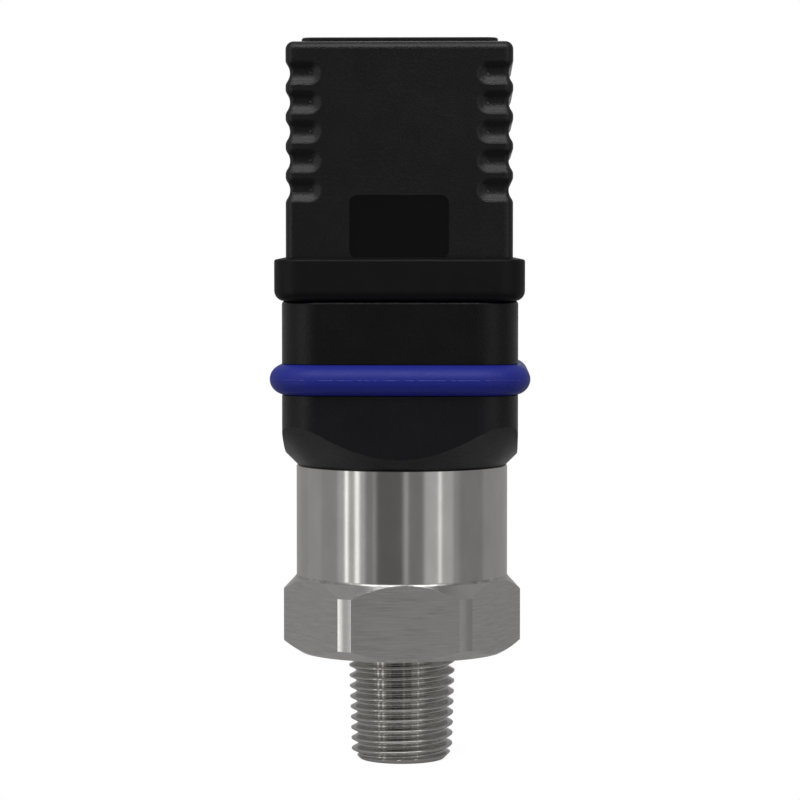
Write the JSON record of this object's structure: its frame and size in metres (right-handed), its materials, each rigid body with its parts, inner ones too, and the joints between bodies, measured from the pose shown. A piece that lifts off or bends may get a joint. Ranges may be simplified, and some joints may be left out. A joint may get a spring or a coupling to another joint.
{
  "type": "pressure transmitter",
  "caption": "Screw-in stainless pressure transmitter with a tapered process thread, hexagon body, square connector base and a black angled valve plug with cable gland.",
  "frame": {"origin": "on the axis of the process thread, in the plane of the hexagon's underside", "axes": "+Z along the axis from the thread up to the plug; -Y is the front of the plug, with the window; +Y is the side of the cable gland"},
  "size_m": [0.0324, 0.0421, 0.0908],
  "materials": {
    "stainless_steel": "turned, fine circular grain",
    "housing_plastic": "satin, fine spark-eroded grain",
    "base_plastic": "satin, fine grain",
    "gasket_rubber": "matt",
    "seal_rubber": "matt",
    "blue_silicone": "satin",
    "ceramic": "fired alumina",
    "brass": "machined",
    "contact_metal": "tin plated brass",
    "tinned_wire": "tinned copper",
    "zinc_plate": "zinc plated steel",
    "board": "glass epoxy with solder mask",
    "components": "moulded epoxy",
    "block_plastic": "glass filled polyamide",
    "gland_plastic": "satin polyamide"
  },
  "bodies": {
    "transmitter": {"transmitter_body": "stainless_steel", "cell_seal": "seal_rubber", "measuring_cell": "ceramic", "cell_ring": "brass", "cell_leads": "tinned_wire", "circuit_board": "board", "board_components": "components", "connector_base": "base_plastic", "base_seal": "seal_rubber", "color_ring": "blue_silicone", "screw_insert": "brass", "contact_blade_1": "contact_metal", "contact_blade_2": "contact_metal", "contact_blade_3": "contact_metal", "earth_blade": "contact_metal"},
    "plug": {"plug_housing": "housing_plastic", "profile_gasket": "gasket_rubber", "terminal_block": "block_plastic", "socket_contact_1": "contact_metal", "socket_contact_2": "contact_metal", "socket_contact_3": "contact_metal", "earth_socket": "contact_metal", "clamp_screws": "zinc_plate", "gland_grommet": "seal_rubber"},
    "washer_lift": {"screw_washer": "zinc_plate"},
    "screw": {"fixing_screw": "zinc_plate"},
    "thrust_washer": {"gland_washer": "zinc_plate"},
    "nut": {"gland_nut": "gland_plastic"}
  },
  "joints": [
    {"name": "plug_pull", "type": "slide", "parent": "transmitter", "child": "plug", "axis": [0, 0, 1], "range_m": [0, 0.015]},
    {"name": "screw_feed", "type": "slide", "parent": "plug", "child": "washer_lift", "axis": [0, 0, 1], "range_m": [0, 0.006]},
    {"name": "screw_turn", "type": "hinge", "parent": "washer_lift", "child": "screw", "pos_m": [0, 0, 0.07315], "axis": [0, 0, 1], "range_deg": [0, 4325]},
    {"name": "nut_feed", "type": "slide", "parent": "plug", "child": "thrust_washer", "axis": [0, 1, 0], "range_m": [0, 0.00705]},
    {"name": "nut_turn", "type": "hinge", "parent": "thrust_washer", "child": "nut", "pos_m": [0, 0.02235, 0.0664], "axis": [0, 1, 0], "range_deg": [0, 1805]}
  ],
  "couplings": [
    {"joint": "screw_turn", "follows": "screw_feed", "rad_per_m": 12566},
    {"joint": "nut_turn", "follows": "nut_feed", "rad_per_m": 4456.2}
  ]
}
